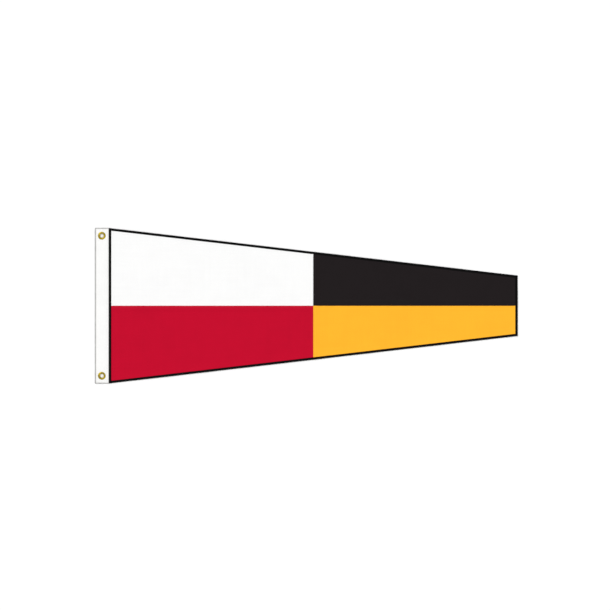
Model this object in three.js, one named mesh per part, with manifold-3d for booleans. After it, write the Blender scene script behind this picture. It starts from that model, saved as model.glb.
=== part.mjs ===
// A sewn signal pennant in four colours, lying flat and face up, in millimetres.
// The heading with its two grommets is at -X, the narrow fly end at +X, white and black are at +Y,
// and +Z is up from the surface that it lies on. The origin is under the middle of its length.
import * as THREE from 'three';
import { mergeVertices } from 'three/addons/utils/BufferGeometryUtils.js';
import Module from 'manifold-3d';

const wasm = await Module();
wasm.setup();

// Overall sizes
const totalLength = 914.4;   // outer edge of the heading to the fly end, 36 in
const hoistHeight = 336.2;   // where the field meets the heading
const flyHeight = 130.8;     // at the fly end
const headingWide = 30.1;    // visible width of the heading
const clear = 0.3;           // gap between neighbouring pieces

// Cloth of the field
const clothThick = 1.5;
const seamWide = 8;          // width of the layer that a lapped seam hides
const seamRoot = 1.5;        // how far the raised layer of a seam starts inside its own panel
const underLayer = { low: 0, high: 0.6 };      // lower layer of a seam
const overLayer = { low: 0.9, high: 1.9 };     // upper layer of a seam
const heldLayer = { low: 0.9, high: 1.5 };     // cloth edge that the binding holds

// Black edge binding, a folded tape
const tapeWide = 4.8;
const tapeFold = 1.3;        // depth of the fold that joins its two legs
const tapeLayer = { under: 0.6, over: 1.8, high: 2.4 };   // top of lower leg, upper leg's two faces

// Heading, a folded strip of canvas
const headingThick = 2.8;
const canvasLayer = { under: 0.8, over: 2.0 };             // faces of the slot between its two legs
const insertLayer = { low: 1.1, high: 1.7 };               // tape's wing between those legs
const insertWide = 4;
const insertShort = 3;       // how far the wing stops short of the heading's ends

// Grommets
const grommetInset = 16.7;   // from each end of the heading to a grommet's centre
const grommetRadius = 8.35;
const holeRadius = 4.25;
const barrelRadius = 4.9;
const lipRadius = 6.2;
const lipHigh = 0.5;
const flange = { low: 2.4, rim: 2.6, high: 3.4, landInner: 5.4, landOuter: 7.0, bore: 2.3 };
const washer = { high: 1.2, shoulder: 0.8, bevel: 0.45 };
const canvasWeb = { low: 1.5, high: 2.1 };     // canvas squeezed between eyelet and washer
const dishWide = 1.6;        // the squeezed canvas slopes up over this width
const roundSteps = 48;

// Places worked out from the sizes
const headingX = -totalLength / 2;
const hoistX = headingX + headingWide;
const flyX = totalLength / 2;
const middleX = (hoistX + flyX) / 2;
const taper = (hoistHeight - flyHeight) / 2 / (flyX - hoistX);
const slant = Math.hypot(1, taper);
const cloth = {
  startX: hoistX + tapeWide + clear,
  endX: flyX - tapeWide - clear,
  edge: tapeWide + clear,      // where the full cloth stops, in from the outer edge
  held: tapeFold + clear,      // where its held layer stops
};

// Half the height of the field at x, drawn in by inset from its slanted edge
function halfHeight(x, inset) {
  return hoistHeight / 2 - taper * (x - hoistX) - inset * slant;
}

function toSolid(geometry) {
  geometry.deleteAttribute('normal');
  geometry.deleteAttribute('uv');
  const merged = mergeVertices(geometry, 1e-4);
  return new wasm.Manifold(new wasm.Mesh({
    numProp: 3,
    vertProperties: new Float32Array(merged.attributes.position.array),
    triVerts: new Uint32Array(merged.index.array),
  }));
}

function toMesh(name, solid, material) {
  const data = solid.getMesh();
  const geometry = new THREE.BufferGeometry();
  geometry.setAttribute('position', new THREE.BufferAttribute(data.vertProperties, 3));
  geometry.setIndex(new THREE.BufferAttribute(data.triVerts, 1));
  geometry.computeVertexNormals();
  const mesh = new THREE.Mesh(geometry, material);
  mesh.name = name;
  return mesh;
}

function join(solids) {
  return solids.reduce((whole, next) => whole.add(next));
}

// A flat slab over a plan outline
function slab(outline, low, high) {
  const shape = new THREE.Shape(outline.map(([x, y]) => new THREE.Vector2(x, y)));
  const geometry = new THREE.ExtrudeGeometry(shape, { depth: high - low, bevelEnabled: false });
  geometry.translate(0, 0, low);
  return toSolid(geometry);
}

// A slab of one quarter: from nearY to the slanted edge on that side, +1 above or -1 below
function quarter(side, startX, endX, nearY, inset, layer) {
  const outline = [
    [startX, nearY],
    [endX, nearY],
    [endX, side * halfHeight(endX, inset)],
    [startX, side * halfHeight(startX, inset)],
  ];
  return slab(outline, layer.low, layer.high);
}

// A slab between two heights in plan
function band(startX, endX, lowY, highY, layer) {
  const outline = [[startX, lowY], [endX, lowY], [endX, highY], [startX, highY]];
  return slab(outline, layer.low, layer.high);
}

const fullLayer = { low: 0, high: clothThick };
const lapX = middleX + seamWide + clear;      // where the right-hand panels' full cloth starts
const lapY = seamWide + clear;                // where a lapping panel's full cloth starts

// White lies under red along the middle, and under black at the cross seam
function whitePanel() {
  const endX = middleX - clear;
  return join([
    quarter(1, cloth.startX, endX, clear, cloth.edge, fullLayer),
    quarter(1, hoistX + cloth.held, endX, clear, cloth.held, heldLayer),
    band(cloth.startX, endX - clear, -seamWide, clear + seamRoot, underLayer),
    quarter(1, endX - seamRoot, middleX + seamWide, clear, cloth.edge, underLayer),
  ]);
}

// Red laps over white along the middle, and lies under yellow at the cross seam
function redPanel() {
  const endX = middleX - clear;
  return join([
    quarter(-1, cloth.startX, endX, -lapY, cloth.edge, fullLayer),
    quarter(-1, hoistX + cloth.held, endX, 0, cloth.held, heldLayer),
    band(cloth.startX, endX, -lapY - seamRoot, 0, overLayer),
    quarter(-1, endX - seamRoot, middleX + seamWide, -lapY, cloth.edge, underLayer),
    band(endX, middleX + seamWide, -lapY - seamRoot, 0, underLayer),
  ]);
}

// Black laps over white at the cross seam, and over yellow along the middle
function blackPanel() {
  return join([
    quarter(1, lapX, cloth.endX, lapY, cloth.edge, fullLayer),
    quarter(1, middleX, flyX - cloth.held, 0, cloth.held, heldLayer),
    quarter(1, middleX, lapX + seamRoot, 0, cloth.edge, overLayer),
    band(middleX, cloth.endX, 0, lapY + seamRoot, overLayer),
  ]);
}

// Yellow laps over red at the cross seam, and lies under black along the middle
function yellowPanel() {
  return join([
    quarter(-1, lapX, cloth.endX, -clear, cloth.edge, fullLayer),
    quarter(-1, middleX, flyX - cloth.held, -clear, cloth.held, heldLayer),
    quarter(-1, middleX, lapX + seamRoot, -clear, cloth.edge, overLayer),
    band(lapX, cloth.endX, -clear - seamRoot, seamWide, underLayer),
  ]);
}

// The binding's section: x runs in from the outer edge, y is height, and the fold is round
function tapeSection() {
  const radius = tapeLayer.high / 2;
  const shape = new THREE.Shape();
  shape.moveTo(tapeWide, 0);
  shape.lineTo(tapeWide, tapeLayer.under);
  shape.lineTo(tapeFold, tapeLayer.under);
  shape.lineTo(tapeFold, tapeLayer.over);
  shape.lineTo(tapeWide, tapeLayer.over);
  shape.lineTo(tapeWide, tapeLayer.high);
  shape.absarc(radius, radius, radius, Math.PI / 2, 3 * Math.PI / 2, false);
  return shape;
}

// Binding along an edge from one corner to the next, with the cloth on its left as seen from above
function bindingStrip(start, end) {
  const along = new THREE.Vector3().subVectors(end, start);
  const geometry = new THREE.ExtrudeGeometry(tapeSection(), {
    depth: along.length(), bevelEnabled: false, curveSegments: 8,
  });
  along.normalize();
  const up = new THREE.Vector3(0, 0, 1);
  const inward = new THREE.Vector3().crossVectors(up, along);
  const place = new THREE.Matrix4().makeBasis(inward, up, along);
  place.setPosition(start);
  geometry.applyMatrix4(place);
  return toSolid(geometry);
}

const aboveAll = { low: -1, high: tapeLayer.high + 1 };

// Upper or lower binding, cut square between the hoist strip and the fly strip
function longTape(side) {
  const hoistCorner = new THREE.Vector3(hoistX, side * halfHeight(hoistX, 0), 0);
  const flyCorner = new THREE.Vector3(flyX, side * halfHeight(flyX, 0), 0);
  const strip = side > 0 ? bindingStrip(flyCorner, hoistCorner) : bindingStrip(hoistCorner, flyCorner);
  return strip.intersect(band(cloth.startX, cloth.endX, -hoistHeight, hoistHeight, aboveAll));
}

// Fly end binding, cut to the slant of the long edges
function flyTape() {
  const top = new THREE.Vector3(flyX, halfHeight(hoistX, 0), 0);
  const bottom = new THREE.Vector3(flyX, -halfHeight(hoistX, 0), 0);
  return bindingStrip(bottom, top).intersect(fieldPlan(flyX - tapeWide, flyX));
}

// Hoist binding: its legs hold the field, and its flat wing lies inside the heading
function hoistTape() {
  const top = new THREE.Vector3(hoistX, halfHeight(hoistX, 0), 0);
  const bottom = new THREE.Vector3(hoistX, -halfHeight(hoistX, 0), 0);
  const wingHalf = halfHeight(hoistX, 0) - insertShort;
  return join([
    bindingStrip(top, bottom).intersect(fieldPlan(hoistX, hoistX + tapeWide)),
    band(hoistX - insertWide, hoistX + tapeFold, -wingHalf, wingHalf, insertLayer),
  ]);
}

// Plan of the field between two places along its length
function fieldPlan(startX, endX) {
  const outline = [
    [startX, -halfHeight(startX, 0)],
    [endX, -halfHeight(endX, 0)],
    [endX, halfHeight(endX, 0)],
    [startX, halfHeight(startX, 0)],
  ];
  return slab(outline, aboveAll.low, aboveAll.high);
}

const grommetX = headingX + headingWide / 2;
const grommetY = hoistHeight / 2 - grommetInset;

// A cutter around a grommet's axis
function roundCut(radiusLow, radiusHigh, low, high, y) {
  const geometry = new THREE.CylinderGeometry(radiusHigh, radiusLow, high - low, roundSteps);
  geometry.rotateX(Math.PI / 2);
  geometry.translate(grommetX, y, (low + high) / 2);
  return toSolid(geometry);
}

// Folded canvas strip: round fold at the outer edge, slot for the tape's wing at the inner one
function headingStrip() {
  const radius = headingThick / 2;
  const endX = hoistX - clear;
  const slotX = hoistX - insertWide - clear;
  const shape = new THREE.Shape();
  shape.moveTo(endX, 0);
  shape.lineTo(endX, canvasLayer.under);
  shape.lineTo(slotX, canvasLayer.under);
  shape.lineTo(slotX, canvasLayer.over);
  shape.lineTo(endX, canvasLayer.over);
  shape.lineTo(endX, headingThick);
  shape.absarc(headingX + radius, radius, radius, Math.PI / 2, 3 * Math.PI / 2, false);
  const geometry = new THREE.ExtrudeGeometry(shape, {
    depth: hoistHeight, bevelEnabled: false, curveSegments: 8,
  });
  geometry.rotateX(Math.PI / 2);
  geometry.translate(0, hoistHeight / 2, 0);
  let strip = toSolid(geometry);
  const seat = grommetRadius + clear;
  for (const y of [grommetY, -grommetY]) {
    strip = strip.subtract(roundCut(barrelRadius + clear, barrelRadius + clear, -1, headingThick + 1, y));
    strip = strip.subtract(roundCut(seat, seat + dishWide, canvasWeb.high, headingThick + clear, y));
    strip = strip.subtract(roundCut(seat, seat, -1, canvasWeb.low, y));
  }
  return strip;
}

// A ring turned from a section that is drawn anticlockwise, with x as radius and y as height
function turned(section, y) {
  const geometry = new THREE.LatheGeometry(section, roundSteps);
  geometry.rotateX(Math.PI / 2);
  geometry.translate(grommetX, y, 0);
  return toSolid(geometry);
}

// Eyelet: domed flange on the face, barrel through the canvas, lip rolled out under the washer
function eyelet(y) {
  const path = new THREE.Path();
  path.moveTo(barrelRadius, 0);
  path.lineTo(lipRadius - lipHigh / 2, 0);
  path.quadraticCurveTo(lipRadius, 0, lipRadius, lipHigh / 2);
  path.quadraticCurveTo(lipRadius, lipHigh, lipRadius - lipHigh / 2, lipHigh);
  path.lineTo(barrelRadius, lipHigh);
  path.lineTo(barrelRadius, flange.low);
  path.lineTo(grommetRadius - (flange.rim - flange.low), flange.low);
  path.lineTo(grommetRadius, flange.rim);
  path.quadraticCurveTo(grommetRadius, flange.high, flange.landOuter, flange.high);
  path.lineTo(flange.landInner, flange.high);
  path.quadraticCurveTo(holeRadius, flange.high, holeRadius, flange.bore);
  path.lineTo(holeRadius, lipHigh + clear);
  path.quadraticCurveTo(holeRadius, 0, barrelRadius, 0);
  return turned(path.getPoints(5), y);
}

// Washer: a bevelled ring against the back, stepped on its underside to clear the rolled lip
function washerRing(y) {
  const bore = barrelRadius + clear;
  const step = lipRadius + clear;
  const section = [
    [step, 0],
    [grommetRadius, 0],
    [grommetRadius, washer.high - washer.bevel],
    [grommetRadius - washer.bevel, washer.high],
    [bore, washer.high],
    [bore, washer.shoulder],
    [step, washer.shoulder],
    [step, 0],
  ];
  return turned(section.map(([radius, height]) => new THREE.Vector2(radius, height)), y);
}

function clothFinish(color, roughness) {
  return new THREE.MeshStandardMaterial({ color, roughness, metalness: 0 });
}

const finish = {
  white: clothFinish(0xfbfbf9, 0.8),
  black: clothFinish(0x242021, 0.8),
  red: clothFinish(0xc4112f, 0.8),
  yellow: clothFinish(0xfeb930, 0.8),
  tape: clothFinish(0x0b0a0b, 0.85),
  canvas: clothFinish(0xf4f2ec, 0.9),
  brass: new THREE.MeshStandardMaterial({ color: 0xb3983c, roughness: 0.3, metalness: 1 }),
};

const pennant = new THREE.Group();
pennant.add(toMesh('panel_white', whitePanel(), finish.white));
pennant.add(toMesh('panel_black', blackPanel(), finish.black));
pennant.add(toMesh('panel_red', redPanel(), finish.red));
pennant.add(toMesh('panel_yellow', yellowPanel(), finish.yellow));
pennant.add(toMesh('tape_hoist', hoistTape(), finish.tape));
pennant.add(toMesh('tape_upper', longTape(1), finish.tape));
pennant.add(toMesh('tape_lower', longTape(-1), finish.tape));
pennant.add(toMesh('tape_fly', flyTape(), finish.tape));
pennant.add(toMesh('heading', headingStrip(), finish.canvas));
for (const [place, y] of [['upper', grommetY], ['lower', -grommetY]]) {
  pennant.add(toMesh(`grommet_${place}`, eyelet(y), finish.brass));
  pennant.add(toMesh(`washer_${place}`, washerRing(y), finish.brass));
}

export default pennant;
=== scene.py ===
import math
import bpy
import numpy as np
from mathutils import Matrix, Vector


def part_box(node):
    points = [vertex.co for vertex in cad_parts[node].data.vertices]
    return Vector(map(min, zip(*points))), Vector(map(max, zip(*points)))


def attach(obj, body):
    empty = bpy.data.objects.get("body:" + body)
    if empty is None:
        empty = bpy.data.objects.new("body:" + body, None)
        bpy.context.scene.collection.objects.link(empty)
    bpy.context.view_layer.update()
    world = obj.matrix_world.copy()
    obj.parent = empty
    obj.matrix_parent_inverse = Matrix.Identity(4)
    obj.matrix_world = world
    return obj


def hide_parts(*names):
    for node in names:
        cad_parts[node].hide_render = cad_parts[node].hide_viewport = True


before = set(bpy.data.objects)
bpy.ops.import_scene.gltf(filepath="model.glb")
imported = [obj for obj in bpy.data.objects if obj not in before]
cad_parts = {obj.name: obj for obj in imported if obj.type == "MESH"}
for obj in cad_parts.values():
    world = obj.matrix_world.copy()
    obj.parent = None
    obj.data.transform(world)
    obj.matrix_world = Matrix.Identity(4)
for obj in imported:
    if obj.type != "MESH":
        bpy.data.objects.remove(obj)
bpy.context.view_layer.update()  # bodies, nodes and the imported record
mm = 0.001
dice = np.random.default_rng(20)

# Sizes and places in this file are in millimetres until a mesh is made


def boxOf(node):
    low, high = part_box(node)
    return np.array(low) / mm, np.array(high) / mm


headingLow, headingHigh = boxOf("heading")
flyLow, flyHigh = boxOf("tape_fly")
solidGap = 0.3  # between neighbouring solids

leftX = headingLow[0]
hoistX = headingHigh[0] + solidGap  # border of heading and field
flyX = flyHigh[0]
crossX = boxOf("panel_black")[0][0]  # where the right-hand panels start
topY = headingHigh[1]
tapeWide = flyHigh[0] - flyLow[0]
seamWide = boxOf("panel_white")[1][0] - crossX
taper = (topY - flyHigh[1]) / (flyLow[0] - hoistX)
slant = math.hypot(1, taper)


def halfAt(x, inset=0.0):  # half the field's height, drawn in from its slanted edge
    return topY - taper * (x - hoistX) - inset * slant


def smooth(value, low, high):  # 0 below low, 1 above high
    t = np.clip((np.asarray(value, float) - low) / (high - low), 0, 1)
    return t * t * (3 - 2 * t)


def bump(value, middle, wide):  # 1 at the middle, fading to 0 on both sides
    return np.exp(-((value - middle) / wide) ** 2)


def evenSteps(low, high, step):
    return np.linspace(low, high, int(round((high - low) / step)) + 1)


def spaced(low, high, step):  # places between two ends, the ends left out
    count = max(2, int(round((high - low) / step)))
    return list(np.linspace(low, high, count + 1)[1:-1])


# How unevenly the flag lies: broad soft waves, and puckers along its rows of stitches
lie = {
    "waveHigh": 0.9,
    "waveCount": 9,
    "waveLong": (75, 230),
    "seamPucker": 0.25,
    "edgePucker": 0.30,
    "puckerLong": 10.5,
    "puckerReach": 13.0,
    "wobbles": ((1.6, 5.3, 1.0), (0.9, 2.3, 2.1)),  # size, how many puckers long, share of the phase
    "phase": {"middle": 0.4, "cross": 1.9, "upper": 2.6, "lower": 4.7, "fly": 0.8, "hoist": 5.5},
    "levelHoist": 32,  # the field lies level beside the heading
}
waveAngle = dice.uniform(0, math.pi, lie["waveCount"])
waveLong = dice.uniform(*lie["waveLong"], lie["waveCount"])
wavePhase = dice.uniform(0, 2 * math.pi, lie["waveCount"])


def waves(x, y):
    total = 0
    for angle, long, phase in zip(waveAngle, waveLong, wavePhase):
        total = total + np.sin(2 * math.pi * (x * math.cos(angle) + y * math.sin(angle)) / long + phase)
    return 0.5 + 0.5 * np.tanh(total / 2.4)


def gathers(t, phase):  # uneven ripples along a row of stitches, from 0 to 1
    turn = 2 * math.pi * t / lie["puckerLong"]
    wobble = sum(size * np.sin(turn / longer + share * phase) for size, longer, share in lie["wobbles"])
    fade = 0.55 + 0.45 * np.sin(turn / 7.7 + 3.3 * phase)
    return (0.5 + 0.5 * np.sin(turn + wobble)) * fade


def awayFrom(distance):  # a pucker's height across its seam: low on it, highest beside it
    d = np.maximum(distance, 0)
    return (0.3 + 0.7 * smooth(d, 0, 4)) * np.exp(-d / lie["puckerReach"])


def ripple(x, y):  # the rise that every cloth piece and stitch shares
    atSeam, atEdge, phase = lie["seamPucker"], lie["edgePucker"], lie["phase"]
    middleSeam = np.abs(np.abs(y) - seamWide / 2) - seamWide / 2
    crossSeam = np.abs(x - crossX - seamWide / 2) - seamWide / 2
    longEdge = (halfAt(x) - np.abs(y)) / slant - tapeWide
    longPhase = np.where(np.asarray(y) > 0, phase["upper"], phase["lower"])
    high = lie["waveHigh"] * waves(x, y)
    high = high + atSeam * awayFrom(middleSeam) * gathers(x, phase["middle"])
    high = high + atSeam * awayFrom(crossSeam) * gathers(y, phase["cross"])
    high = high + atEdge * awayFrom(longEdge) * gathers(x, longPhase) * smooth(np.abs(y), 0, 20)
    high = high + atEdge * awayFrom(flyX - x - tapeWide) * gathers(y, phase["fly"])
    high = high + atEdge * awayFrom(x - hoistX - tapeWide) * gathers(y, phase["hoist"])
    return high * smooth(x, hoistX - 1, hoistX + lie["levelHoist"])


# Node helpers and node groups that several materials share


def feed(node, inputs):  # links each input to a socket, or sets its number or colour
    for key, value in inputs.items():
        if isinstance(value, bpy.types.NodeSocket):
            node.id_data.links.new(value, node.inputs[key])
        else:
            node.inputs[key].default_value = value


def makeNode(tree, kind, inputs=None, **settings):
    node = tree.nodes.new(kind)
    for key, value in settings.items():
        setattr(node, key, value)
    feed(node, inputs or {})
    return node


def calc(tree, operation, first, second=0.0):
    return makeNode(tree, "ShaderNodeMath", {0: first, 1: second}, operation=operation).outputs[0]


def remap(tree, value, fromLow, fromHigh, toLow, toHigh, kind="LINEAR"):
    inputs = {"Value": value, "From Min": fromLow, "From Max": fromHigh, "To Min": toLow, "To Max": toHigh}
    return makeNode(tree, "ShaderNodeMapRange", inputs, interpolation_type=kind).outputs["Result"]


def mixColor(tree, amount, first, second):
    inputs = {"Factor": amount, 6: first, 7: second}
    return makeNode(tree, "ShaderNodeMix", inputs, data_type="RGBA").outputs[2]


def noise(tree, vector, scale, detail=2.0):
    inputs = {"Vector": vector, "Scale": scale, "Detail": detail}
    return makeNode(tree, "ShaderNodeTexNoise", inputs).outputs["Fac"]


def stretched(tree, place, x, y, z):
    inputs = {0: place, 1: (x, y, z)}
    return makeNode(tree, "ShaderNodeVectorMath", inputs, operation="MULTIPLY").outputs[0]


def ownPlace(tree):  # place on the piece itself, in metres
    return makeNode(tree, "ShaderNodeTexCoord").outputs["Object"]


def markOf(tree, name):  # a mark that the mesh carries at its points
    return makeNode(tree, "ShaderNodeAttribute", attribute_name=name).outputs["Fac"]


def newGroup(name, inputs, outputs):
    group = bpy.data.node_groups.new(name, "ShaderNodeTree")
    for label, value in inputs.items():
        socket = group.interface.new_socket(name=label, in_out="INPUT", socket_type="NodeSocketFloat")
        socket.default_value = value
    for label in outputs:
        group.interface.new_socket(name=label, in_out="OUTPUT", socket_type="NodeSocketFloat")
    return group, makeNode(group, "NodeGroupInput").outputs, makeNode(group, "NodeGroupOutput")


def useGroup(tree, group, **values):
    return makeNode(tree, "ShaderNodeGroup", values, node_tree=group)


# Plain weave in the cloth's own plan: threads a metre each way, how uneven and how streaky they are
def makeWeaveGroup():
    inputs = {"Threads": 2600.0, "Uneven": 0.35, "Streaks": 1.0}
    group, given, result = newGroup("weave", inputs, ["Height", "Gaps", "Tone"])
    place = ownPlace(group)
    split = makeNode(group, "ShaderNodeSeparateXYZ", {0: place})
    rounded = []
    waved = []
    for axis, stretch in ((0, (900, 60, 60)), (1, (60, 900, 60))):
        drift = noise(group, stretched(group, place, *stretch), 1.0)
        drift = calc(group, "MULTIPLY", calc(group, "SUBTRACT", drift, 0.5), given["Uneven"])
        count = calc(group, "MULTIPLY", split.outputs[axis], given["Threads"])
        wave = calc(group, "SINE", calc(group, "MULTIPLY", calc(group, "ADD", count, drift), math.pi))
        waved.append(wave)
        rounded.append(calc(group, "ABSOLUTE", wave))
    over = remap(group, calc(group, "MULTIPLY", *waved), -0.35, 0.35, 0, 1, "SMOOTHSTEP")
    under = calc(group, "SUBTRACT", 1.0, over)
    warp = calc(group, "MULTIPLY", over, rounded[0])
    weft = calc(group, "MULTIPLY", under, rounded[1])
    gaps = remap(group, calc(group, "MAXIMUM", *rounded), 0.35, 0.8, 1, 0, "SMOOTHSTEP")
    warpTone = noise(group, stretched(group, place, 420, 9, 9), 1.0, 4)
    weftTone = noise(group, stretched(group, place, 9, 420, 9), 1.0, 4)
    tone = calc(group, "SUBTRACT", calc(group, "ADD", warpTone, weftTone), 1.0)
    tone = calc(group, "ADD", 1.0, calc(group, "MULTIPLY", tone, given["Streaks"]))
    feed(result, {"Height": calc(group, "ADD", warp, weft), "Gaps": gaps, "Tone": tone})
    return group


# Soil, wear and painted shade: broad faint soiling, and a mix towards a wear-and-shade colour where the
# mesh marks places as raised, which is rubbing on the panels' and binding's folds and painted shade along
# the heading's edges
def makeSoilWearAndShadeGroup():
    inputs = {"Soil": 0.03, "Rub": 0.1, "Even": 0.2}
    group, given, result = newGroup("soilWearAndShade", inputs, ["Tone", "Rubbed"])
    place = ownPlace(group)
    broad = noise(group, place, 7.0, 3)
    cloudy = noise(group, place, 32.0, 4)
    both = calc(group, "MULTIPLY", calc(group, "ADD", broad, cloudy), 0.5)
    soil = remap(group, both, 0.42, 0.72, 0, 1, "SMOOTHSTEP")
    tone = calc(group, "SUBTRACT", 1.0, calc(group, "MULTIPLY", soil, given["Soil"]))
    patches = remap(group, noise(group, place, 240.0, 3), 0.35, 0.65, 0, 1)
    uneven = calc(group, "MULTIPLY", patches, calc(group, "SUBTRACT", 1.0, given["Even"]))
    patchy = calc(group, "ADD", uneven, given["Even"])
    # wear on the rubbed folds of the panels and binding, painted shade along the heading's edges
    wearAndShade = calc(group, "MULTIPLY", markOf(group, "raised"), patchy)
    feed(result, {"Tone": tone, "Rubbed": calc(group, "MULTIPLY", wearAndShade, given["Rub"])})
    return group


# Loose fibres: a very fine uneven nap
def makeNapGroup():
    group, given, result = newGroup("nap", {"Fineness": 3500.0, "Depth": 0.3}, ["Height"])
    fine = noise(group, ownPlace(group), given["Fineness"], 2)
    feed(result, {"Height": calc(group, "MULTIPLY", fine, given["Depth"])})
    return group


weaveGroup = makeWeaveGroup()
soilWearAndShadeGroup = makeSoilWearAndShadeGroup()
napGroup = makeNapGroup()


def newMaterial(name):
    material = bpy.data.materials.new(name)
    material.use_nodes = True
    return material, material.node_tree, material.node_tree.nodes["Principled BSDF"]


def addBump(tree, shader, height, strength, depth):
    inputs = {"Strength": strength, "Distance": depth * mm, "Height": height}
    feed(shader, {"Normal": makeNode(tree, "ShaderNodeBump", inputs).outputs["Normal"]})


# What a user would change in each cloth, over what all share: colours are linear, depth is in
# millimetres, and the wear-and-shade colour is that of a rubbed or soiled fold, but on the canvas it is
# the grey of painted shade along the heading's edges
everyCloth = {"threads": 2600, "depth": 0.05, "even": 0.2, "nap": 0.35, "roughSwing": 0.06, "sheen": 0.0}
clothLooks = {
    "cloth_white": {
        "color": (0.908, 0.908, 0.905), "wearAndShade": (0.9825, 0.9825, 0.9793), "gap": 0.88, "streaks": 0.045,
        "soil": 0.02, "wearAndShadeAmount": 0.0, "rough": 0.72, "gloss": 0.12, "sheen": 0.10,
    },
    "cloth_black": {
        "color": (0.0125, 0.0092, 0.0100), "wearAndShade": (0.08, 0.075, 0.075), "gap": 0.6, "streaks": 0.09,
        "soil": 0.10, "wearAndShadeAmount": 0.05, "rough": 0.66, "gloss": 0.07,
    },
    "cloth_red": {
        "color": (0.53, 0.0021, 0.0240), "wearAndShade": (0.75, 0.12, 0.13), "gap": 0.8, "streaks": 0.08,
        "soil": 0.05, "wearAndShadeAmount": 0.05, "rough": 0.66, "gloss": 0.05,
    },
    "cloth_yellow": {
        "color": (1.0, 0.458, 0.0245), "wearAndShade": (1.0, 0.5055, 0.0460), "gap": 0.88, "streaks": 0.07,
        "soil": 0.04, "wearAndShadeAmount": 0.03, "rough": 0.68, "gloss": 0.08,
    },
    "tape_black": {
        "color": (0.0022, 0.0020, 0.0021), "wearAndShade": (0.05, 0.048, 0.048), "gap": 0.5, "streaks": 0.12,
        "soil": 0.12, "wearAndShadeAmount": 0.10, "rough": 0.72, "gloss": 0.06, "threads": 1700, "depth": 0.09,
    },
    # painted shade: the canvas's grey wear-and-shade colour, at full strength and nearly even, draws a dark
    # outline along the heading's edges
    "canvas_white": {
        "color": (0.930, 0.928, 0.918), "wearAndShade": (0.26, 0.255, 0.245), "gap": 0.84, "streaks": 0.05,
        "soil": 0.04, "wearAndShadeAmount": 1.0, "rough": 0.85, "gloss": 0.12, "threads": 1500, "depth": 0.11,
        "even": 0.8, "sheen": 0.08,
    },
}


def makeCloth(name):
    looks = {**everyCloth, **clothLooks[name]}
    material, tree, shader = newMaterial(name)
    weave = useGroup(tree, weaveGroup, Threads=looks["threads"], Streaks=looks["streaks"]).outputs
    soilWearAndShade = useGroup(tree, soilWearAndShadeGroup, Soil=looks["soil"], Rub=looks["wearAndShadeAmount"], Even=looks["even"])
    soilWearAndShade = soilWearAndShade.outputs
    nap = useGroup(tree, napGroup, Depth=looks["nap"]).outputs
    # painted shade: the colour is darkened by the gap factor between the threads
    shaded = tuple(c * looks["gap"] for c in looks["color"])
    base = mixColor(tree, weave["Gaps"], (*looks["color"], 1), (*shaded, 1))
    # lighter rubbed folds on the panels and binding; on the heading the same mix paints a grey shade along
    # its edges
    base = mixColor(tree, soilWearAndShade["Rubbed"], base, (*looks["wearAndShade"], 1))
    tone = calc(tree, "MULTIPLY", weave["Tone"], soilWearAndShade["Tone"])
    toned = makeNode(tree, "ShaderNodeVectorMath", {0: base, "Scale": tone}, operation="SCALE")
    rough, swing = looks["rough"], looks["roughSwing"]
    feed(shader, {
        "Base Color": toned.outputs[0],
        "Roughness": remap(tree, weave["Tone"], 0.9, 1.1, rough - swing, rough + swing),
        "Sheen Weight": looks["sheen"],
        "Sheen Roughness": 0.4,
        "Specular IOR Level": looks["gloss"],
    })
    addBump(tree, shader, calc(tree, "ADD", weave["Height"], nap["Height"]), 0.8, looks["depth"])
    return material


threadLooks = {
    "thread_red": {"color": (0.50, 0.004, 0.022), "gloss": 0.2},
    "thread_black": {"color": (0.005, 0.0045, 0.0045), "gloss": 0.07},
    "thread_yellow": {"color": (0.95, 0.44, 0.03), "gloss": 0.25},
    "thread_white": {"color": (0.88, 0.875, 0.86), "gloss": 0.25},
}


def makeThread(name):
    material, tree, shader = newMaterial(name)
    color = threadLooks[name]["color"]
    dark = tuple(c * 0.72 for c in color)
    strand = noise(tree, ownPlace(tree), 2200.0, 2)
    feed(shader, {
        "Base Color": mixColor(tree, strand, (*dark, 1), (*color, 1)),
        "Roughness": remap(tree, strand, 0.3, 0.7, 0.42, 0.6),
        "Specular IOR Level": threadLooks[name]["gloss"],
    })
    nap = useGroup(tree, napGroup, Fineness=5200.0, Depth=1.0)
    addBump(tree, shader, nap.outputs["Height"], 0.6, 0.05)
    return material


brassLooks = {
    "bright": (0.49, 0.365, 0.030, 1),
    "dull": (0.25, 0.175, 0.018, 1),
    "rough": 0.36,
    "roughDull": 0.5,
    "scratches": 0.012,
}


def makeBrass():
    material, tree, shader = newMaterial("brass")
    place = ownPlace(tree)
    patches = remap(tree, noise(tree, place, 420.0, 4), 0.42, 0.66, 0, 0.6, "SMOOTHSTEP")
    tarnish = calc(tree, "MAXIMUM", patches, markOf(tree, "hollow"))
    feed(shader, {
        "Base Color": mixColor(tree, tarnish, brassLooks["bright"], brassLooks["dull"]),
        "Roughness": remap(tree, tarnish, 0, 1, brassLooks["rough"], brassLooks["roughDull"]),
        "Metallic": 1.0,
    })
    hairs = noise(tree, stretched(tree, place, 900, 9000, 900), 1.0, 3)
    addBump(tree, shader, hairs, 0.5, brassLooks["scratches"])
    return material


materials = {name: makeCloth(name) for name in clothLooks}
materials.update({name: makeThread(name) for name in threadLooks})
materials["brass"] = makeBrass()
print("materials made:", len(materials))


# Mesh helpers


def addObject(name, data):
    item = bpy.data.objects.new(name, data)
    bpy.context.scene.collection.objects.link(item)
    return item


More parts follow.
